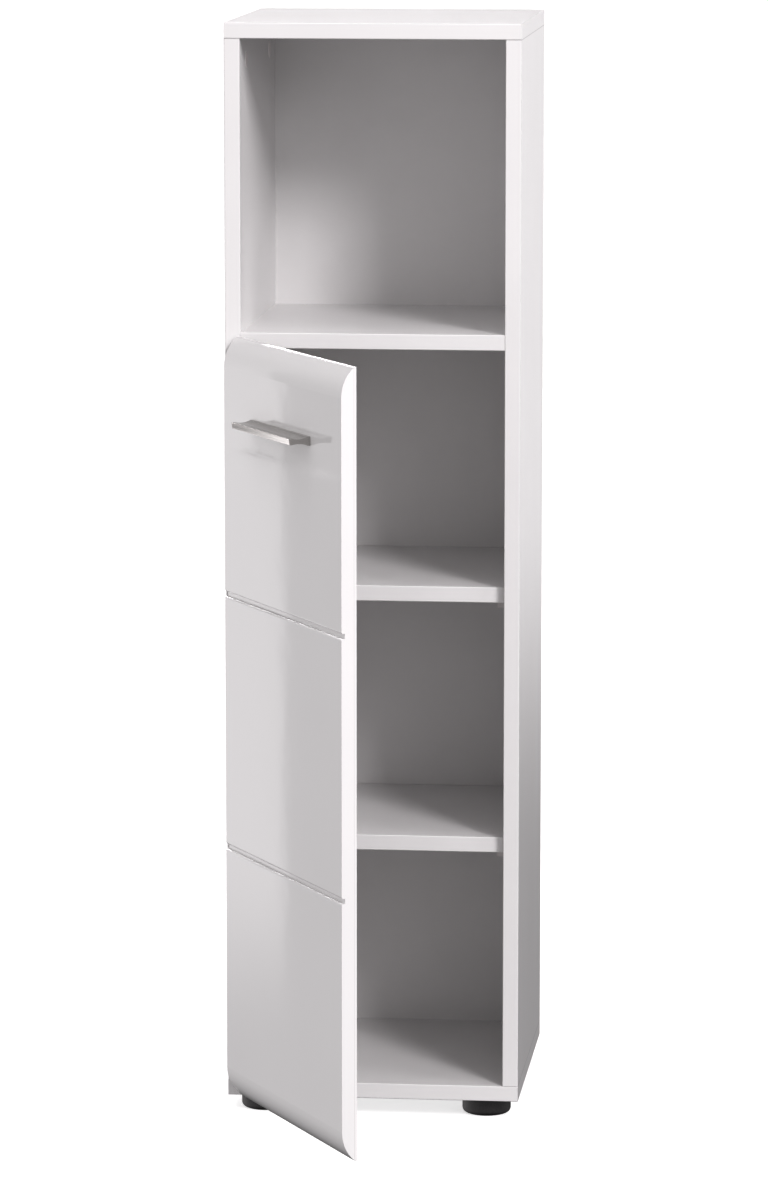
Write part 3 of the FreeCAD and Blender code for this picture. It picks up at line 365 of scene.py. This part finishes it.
# smoother mould: white with a small highlight
white_cap = moulded("white_moulded_abs", "#F0EDEC", "#E8E4E4", (0.36, 0.46), 1.0)
# cast soft: shiny, and bright inside where light comes through
milky_bumper = moulded("milky_polyurethane", "#E9ECEA", "#DFE3E1", (0.2, 0.28), 2.0,
                       {"Transmission Weight": 0.6, "IOR": 1.49})
# turned and fluted: matt and pale, with short dark rays
beech_dowel = beech("turned_beech")
print("plastics and wood:", [finish.name for finish in (black_foot, white_cap, milky_bumper, beech_dowel)])

# %% [markdown]
# ## Each node gets its finish
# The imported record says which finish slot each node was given, and the material that came with the
# node carries the slot's name. So one table from slot to material dresses all 47 nodes, with the loose
# shelves set apart.

# %% Each node gets its finish
FINISH = {
    "melamine_board": carcass_board,
    "door_lacquer": gloss_door,
    "hardboard": back_board,
    "beech": beech_dowel,
    "black_plastic": black_foot,
    "white_plastic": white_cap,
    "clear_bumper": milky_bumper,
    "brushed_nickel": brushed_handle,
    "nickel_plate": nickel_plate,
    "spring_steel": spring_steel,
    "zinc_alloy": cast_zinc,
    "zinc_screw": zinc_screw,
}
for node in nodes.values():
    for slot in node.material_slots:
        slot.material = FINISH[slot.material.name]
for name in ("lower_shelf", "upper_shelf"):
    nodes[name].material_slots[0].material = shelf_board
print("dressed:", len(nodes), "nodes from", len(FINISH), "slots")

# %% [markdown]
# ## Handle bar
# The handle is one drawn bar, sawn to length: a lip for the fingers, a waist, and a foot that sits on
# the door. The solid has its lip flat; on the real one the lip leans back and is crowned, by less than
# a millimetre in all, which is why it mirrors what lies below and not what the door mirrors, and every
# edge is broken. So the bar is made anew: a profile as arrays, carried along the door's width, closed
# by its two ends, and finished by a fine Bevel.

# %% Handle section
DOOR_WIDE = np.array((0.5, -0.8660254, 0.0))        # along the door, from the hinge
UP = np.array((0.0, 0.0, 1.0))
LIP, WAIST, FOOT = 3.0 * MM, 2.2 * MM, 4.5 * MM     # half heights of the section
LIP_END, WAIST_AT, FOOT_AT, DEEP = 3.6 * MM, 10.0 * MM, 20.5 * MM, 23.0 * MM       # depths behind the lip
LEAN, CROWN = 0.5 * MM, 0.4 * MM                    # together, how far the lip falls back
LIP_POINTS, BACK_POINTS, FOOT_POINTS = 13, 9, 13


def waist_curve(first, last, low, high, count):
    """A circle's arc, level at (first, low), that reaches (last, high): low + r - sqrt(r^2 - run^2)."""
    run = np.linspace(0.0, last - first, count)
    rise = high - low
    radius = (run[-1] ** 2 + rise ** 2) / (2.0 * rise)
    return first + run, low + radius - np.sqrt(radius ** 2 - run ** 2)


def handle_section():
    """The bar's outline as (depth, height) points, once round.

    The lip falls back by LEAN times the way down and CROWN times its square. Then come the waist, in
    two arcs, and the foot, and these mirrored back to the lip."""
    lip_high = np.linspace(-LIP, LIP, LIP_POINTS)
    way_down = (LIP - lip_high) / (2.0 * LIP)
    lip_deep = LEAN * way_down + CROWN * way_down ** 2
    back_run, back_high = waist_curve(0.0, WAIST_AT - LIP_END, WAIST, LIP, BACK_POINTS)
    foot_run, foot_high = waist_curve(WAIST_AT, FOOT_AT, WAIST, FOOT, FOOT_POINTS)
    deep = np.concatenate([WAIST_AT - back_run[::-1], foot_run[1:], [DEEP]])
    high = np.concatenate([back_high[::-1], foot_high[1:], [FOOT]])
    return np.concatenate([lip_deep, deep, deep[::-1]]), np.concatenate([lip_high, high, -high[::-1]])


section_deep, section_high = handle_section()
print("handle section:", len(section_deep), "points,", round(np.ptp(section_high) / MM, 1), "mm high")

# %% Handle bar
BREAK_WIDTH, BREAK_ANGLE = 0.15 * MM, math.radians(40.0)


def drawn_bar(deep, high, origin, along, inward, length):
    """The outline on a straight path: origin + t * along + depth * inward + height * UP, ends closed."""
    ring = deep[:, None] * inward + high[:, None] * UP + origin
    points = np.concatenate([ring, ring + length * along])
    here = np.arange(len(ring))
    after = (here + 1) % len(ring)
    sides = np.stack([here, after, len(ring) + after, len(ring) + here], axis=1)
    return points, sides.tolist() + [here[::-1].tolist(), (len(ring) + here).tolist()]


low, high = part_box("handle")
to_door = np.array(DOOR_BACK)
corners = np.empty(3 * len(nodes["handle"].data.vertices), np.float32)
nodes["handle"].data.vertices.foreach_get("co", corners)
corners = corners.reshape(-1, 3)
across, inward = corners @ DOOR_WIDE, corners @ to_door
origin = across.min() * DOOR_WIDE + inward.min() * to_door + (low.z + high.z) / 2.0 * UP
points, faces = drawn_bar(section_deep, section_high, origin, DOOR_WIDE, to_door, np.ptp(across))
bar_mesh = bpy.data.meshes.new("handle_bar")
bar_mesh.from_pydata(points.tolist(), [], faces)
bar_mesh.polygons.foreach_set("use_smooth", np.ones(len(faces), bool))
bar_mesh.materials.append(brushed_handle)
handle_bar = bpy.data.objects.new("handle_bar", bar_mesh)
scene.collection.objects.link(handle_bar)
broken = handle_bar.modifiers.new("broken_edges", "BEVEL")
broken.width = BREAK_WIDTH
broken.segments = 2
broken.limit_method = "ANGLE"
broken.angle_limit = BREAK_ANGLE
broken.harden_normals = True
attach(handle_bar, "door")
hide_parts("handle")
print("handle bar:", round(np.ptp(across) / MM, 1), "mm long,", len(faces), "faces before the bevel")

# %% [markdown]
# ## Floor
# The object stands alone on white, so the floor is a wide pale disc that fades into a white background.
# It glows a little to stay pale, and it takes a soft shadow where the cabinet stands. It throws no
# light back at the cabinet, so the world alone decides how bright the undersides are. The disc's rings
# grow outwards, each wider than the last.

# %% Floor
def disc(radii, spokes):
    """A flat disc: point (i, j) lies at radius radii[i] and angle 2 pi j / spokes, round one centre."""
    angle = np.arange(spokes) * (2.0 * np.pi / spokes)
    ring = np.stack([np.cos(angle), np.sin(angle), np.zeros(spokes)], axis=1)
    points = np.concatenate([np.zeros((1, 3)), (radii[:, None, None] * ring).reshape(-1, 3)])
    here = np.arange(spokes)
    after = (here + 1) % spokes
    hub = np.stack([np.zeros(spokes, int), 1 + here, 1 + after], axis=1)
    first = 1 + spokes * np.arange(len(radii) - 1)[:, None]
    quads = np.stack([first + here, first + spokes + here, first + spokes + after, first + after], axis=2)
    return points, hub.tolist() + quads.reshape(-1, 4).tolist()


FLOOR_LEVEL = -0.2 * MM             # a hair under the soles
FLOOR_RADII, FLOOR_SPOKES = np.geomspace(0.5, 60.0, 12), 64
points, faces = disc(FLOOR_RADII, FLOOR_SPOKES)
points[:, 2] = FLOOR_LEVEL
floor_mesh = bpy.data.meshes.new("floor")
floor_mesh.from_pydata(points.tolist(), [], faces)
floor = bpy.data.objects.new("floor", floor_mesh)
scene.collection.objects.link(floor)

pale_floor, floor_tree, floor_shader = new_material("pale_studio_floor")
fill(floor_tree, floor_shader, {"Base Color": linear("#C8C7C7"), "Roughness": 0.9,
                                "Emission Color": linear("#FFFFFF"), "Emission Strength": 0.70})
pale_floor.cycles.emission_sampling = "NONE"
floor_mesh.materials.append(pale_floor)
floor.visible_diffuse = False
floor.visible_glossy = False
floor.visible_shadow = False
print("floor:", len(faces), "faces")

# %% [markdown]
# ## Light
# The key is a column of three soft boxes on the right, in front and high up: they make the front edges
# bright, light the left of the niche and leave its right in shade. Another box on the right lifts the
# side, one behind lifts the top and the rear, and a weak one overhead lights what faces up. The rest is
# fill from six soft walls, the world: each direction gets its share of a wall's light by the square of
# its part along that axis, so the shares always add up to one. Mirrored rays get their own set of
# walls, as a studio has dark flags and bright walls that shape the gloss and hardly change the light
# that falls on the piece.

# %% Soft boxes
LIGHT_TINT = linear("#FFFDFE")      # the picture's white balance
MIDDLE = Vector((0.0, 0.0, 0.6))
BOXES = {                           # place, width in metres, watts
    "key": ((4.10, -5.97, 5.03), 1.5, 304.0),
    "high_key": ((4.64, -5.12, 6.36), 1.5, 129.0),
    "low_key": ((5.1, -6.2, 2.9), 1.5, 72.0),
    "side_box": ((4.0, -1.5, 3.0), 1.35, 45.0),
    "rear_box": ((-0.6, 3.5, 3.0), 1.6, 29.0),
    "overhead": ((-1.4, -1.0, 7.0), 2.0, 20.0),
}

for name, (place, width, watts) in BOXES.items():
    lamp = bpy.data.lights.new(name, "AREA")
    lamp.size = width
    lamp.energy = watts
    lamp.color = LIGHT_TINT[:3]
    box = bpy.data.objects.new(name, lamp)
    box.location = place
    box.rotation_euler = (MIDDLE - box.location).to_track_quat("-Z", "Y").to_euler()
    box.visible_camera = False
    scene.collection.objects.link(box)
print("soft boxes:", list(BOXES))

# %% Walls of the studio
# walls towards +X +Y +Z and towards -X -Y -Z, for all rays but mirrored ones, and for mirrored ones
FILL_PLUS, FILL_MINUS = (0.0, 0.3, 0.90), (0.68, 0.74, 0.135)
GLOSS_PLUS, GLOSS_MINUS = (1.2, 0.0, 0.0), (2.03, 1.01, 0.0)
ZERO = (0.0, 0.0, 0.0)

sky = bpy.data.worlds.new("studio")
sky.use_nodes = True
sky_tree = sky.node_tree
way = add(sky_tree, "TexCoord").outputs["Generated"]
length = add(sky_tree, "VectorMath", {0: way}, operation="ABSOLUTE").outputs[0]
square = add(sky_tree, "VectorMath", {0: way, 1: length}, operation="MULTIPLY").outputs[0]
ahead = add(sky_tree, "VectorMath", {0: square, 1: ZERO}, operation="MAXIMUM").outputs[0]
behind = add(sky_tree, "VectorMath", {0: square, 1: ZERO}, operation="MINIMUM").outputs[0]


def walls(plus, minus):
    """Light from six walls: squares of the way's parts above zero times plus, of those below times minus."""
    minus = [-wall for wall in minus]
    near = add(sky_tree, "VectorMath", {0: ahead, 1: plus}, operation="DOT_PRODUCT").outputs["Value"]
    far = add(sky_tree, "VectorMath", {0: behind, 1: minus}, operation="DOT_PRODUCT").outputs["Value"]
    return add(sky_tree, "Math", {0: near, 1: far}).outputs[0]


ray = add(sky_tree, "LightPath").outputs
lit = add(sky_tree, "Mix", {0: ray["Is Glossy Ray"], 2: walls(FILL_PLUS, FILL_MINUS),
                            3: walls(GLOSS_PLUS, GLOSS_MINUS)}).outputs[0]
strength = add(sky_tree, "Mix", {0: ray["Is Camera Ray"], 2: lit, 3: 1.0}).outputs[0]
fill(sky_tree, sky_tree.nodes["Background"], {"Color": LIGHT_TINT, "Strength": strength})
scene.world = sky
print("studio:", len(sky_tree.nodes), "nodes light it")

# %% [markdown]
# ## Cards for the door and the side
# Gloss shows only what it mirrors. White cards stand where the glossy pieces look: one on the left,
# behind the door, gives the door its pale half, and one far behind gives the right side its upper
# sheen, which fades out below. Each card is a flat sheet that glows and fades towards its edges, and
# only mirrored rays see it. These two let the studio behind them shine through.

# %% Cards for the door and the side
def card(name, corner, across, up, glow, fades, solid=False):
    """A sheet, corner + a * across + b * up with a and b from 0 to 1.

    Its glow rises smoothly from none to full between the two places of each pair in fades, which
    belong to a, a, b and b."""
    a, b = np.meshgrid([0.0, 1.0], [0.0, 1.0])
    ab = np.stack([a.ravel(), b.ravel()], axis=1)
    mesh = bpy.data.meshes.new(name)
    mesh.from_pydata((np.array(corner) + ab @ np.array([across, up])).tolist(), [], [(0, 1, 3, 2)])
    mesh.uv_layers.new(name="card").data.foreach_set("uv", ab[[0, 1, 3, 2]].ravel())
    sheet = bpy.data.objects.new(name, mesh)
    scene.collection.objects.link(sheet)
    sheet.visible_camera = False
    sheet.visible_diffuse = False
    sheet.visible_shadow = False
    sheet.visible_transmission = False
    material, tree, shader = new_material(name + "_glow")
    tree.nodes.remove(shader)
    place = add(tree, "SeparateXYZ", {0: add(tree, "UVMap", uv_map="card").outputs[0]}).outputs
    part = glow
    for axis, (none, full) in zip("XXYY", fades):
        fade = add(tree, "MapRange", {0: place[axis], 1: none, 2: full}, interpolation_type="SMOOTHSTEP")
        part = add(tree, "Math", {0: fade.outputs[0], 1: part}, operation="MULTIPLY").outputs[0]
    surface = add(tree, "Emission", {"Color": LIGHT_TINT, "Strength": part}).outputs[0]
    if not solid:
        clear = add(tree, "BsdfTransparent").outputs[0]
        surface = add(tree, "AddShader", {0: surface, 1: clear}).outputs[0]
    fill(tree, tree.nodes["Material Output"], {"Surface": surface})
    material.cycles.emission_sampling = "NONE"
    mesh.materials.append(material)


MIRRORED = np.array((-0.795, 0.606, 0.0))       # the way the door front mirrors the view, from above
BESIDE = np.array((0.606, 0.795, 0.0))          # level, and square to that way
DOOR_CARD_CORNER = 1.167 * MIRRORED - 0.179 * BESIDE - 0.20 * UP
DOOR_CARD_WIDE, DOOR_CARD_HIGH, DOOR_GLOW = 0.9, 1.3, 0.845
BACK_CARD_CORNER = (0.2, 2.4, -0.3)
BACK_CARD_WIDE, BACK_CARD_HIGH, BACK_GLOW = 2.0, 2.3, 1.38
card("door_card", DOOR_CARD_CORNER, DOOR_CARD_WIDE * BESIDE, DOOR_CARD_HIGH * UP, DOOR_GLOW,
     ((0.0, 0.004), (1.0, 0.7), (0.0, 0.2), (1.0, 0.58)))
card("back_card", BACK_CARD_CORNER, (BACK_CARD_WIDE, 0.0, 0.0), BACK_CARD_HIGH * UP, BACK_GLOW,
     ((0.0, 0.05), (1.0, 0.8), (0.03, 0.27), (1.0, 0.8)))

# %% [markdown]
# ## A card for the handle
# The handle's lip is bright, from grey at its left to white at its right, while the door below shows no
# bright patch. Seen in the door, the eye stands behind it, as far as it stands in front. A sheet in
# line with that mirrored eye shows the flat door its thin edge alone, while the leaning lip looks down
# on all of it. So this card is solid, slanted and lies below the handle, clear of the door's swing.

# %% A card for the handle
FRONT_FACE = -6.8 * MM                              # from the hinge axis towards the back
CARD_AHEAD, CARD_PAST_HINGE, CARD_LEVEL = 0.06, 0.085, 0.68
CARD_NEAR, CARD_RUN = 0.0116, 0.24                  # parts of the way from the mirrored eye
HANDLE_CARD_WIDE, HANDLE_GLOW = 0.258, 4.2

eye = np.array(EYE)
hinge = np.array((*HINGE_AXIS, 0.0))
eye_depth = (eye - hinge) @ to_door - FRONT_FACE
mirrored_eye = eye - 2.0 * eye_depth * to_door
below_lip = hinge - CARD_AHEAD * to_door - CARD_PAST_HINGE * DOOR_WIDE + CARD_LEVEL * UP
outwards = below_lip - mirrored_eye
card("handle_card", below_lip + CARD_NEAR * outwards, HANDLE_CARD_WIDE * DOOR_WIDE,
     CARD_RUN * outwards, HANDLE_GLOW, ((-0.23, 1.86), (1.0, 0.99), (0.0, 0.01), (1.0, 0.94)), solid=True)
print("handle card starts", round(CARD_NEAR * np.linalg.norm(outwards), 3), "m past its anchor")

# %% [markdown]
# ## A card for the rims
# The top of the rolled end and the lower edge of each groove end in a fine white line. Both tilt up by
# about 50 degrees there. A mirror law gives the way in which such an edge looks: the view, less twice
# its part along the edge's normal. A narrow and bright card stands far away on that way, so that the
# line is the same at every height and nothing flatter sees it.

# %% A card for the rims
RIM_TILT, RIM_AWAY, RIM_WIDE, RIM_HIGH, RIM_GLOW = math.radians(55.0), 20.0, 3.4, 2.4, 14.0
HALF_DOOR, DOOR_MIDDLE_LEVEL = 0.148, 0.55

door_middle = hinge + HALF_DOOR * DOOR_WIDE + DOOR_MIDDLE_LEVEL * UP
looking = door_middle - eye
looking /= np.linalg.norm(looking)
tilted = -math.cos(RIM_TILT) * to_door + math.sin(RIM_TILT) * UP
rim_way = looking - 2.0 * (looking @ tilted) * tilted
level = np.array((-rim_way[1], rim_way[0], 0.0)) / np.hypot(rim_way[0], rim_way[1])
raised = np.cross(rim_way, level)
rim_corner = door_middle + RIM_AWAY * rim_way - 0.5 * RIM_WIDE * level - 0.5 * RIM_HIGH * raised
card("rim_card", rim_corner, RIM_WIDE * level, RIM_HIGH * raised, RIM_GLOW,
     ((0.0, 0.1), (1.0, 0.96), (0.0, 0.1), (1.0, 0.9)))
print("rims look", round(math.degrees(math.asin(rim_way[2])), 1), "degrees up")
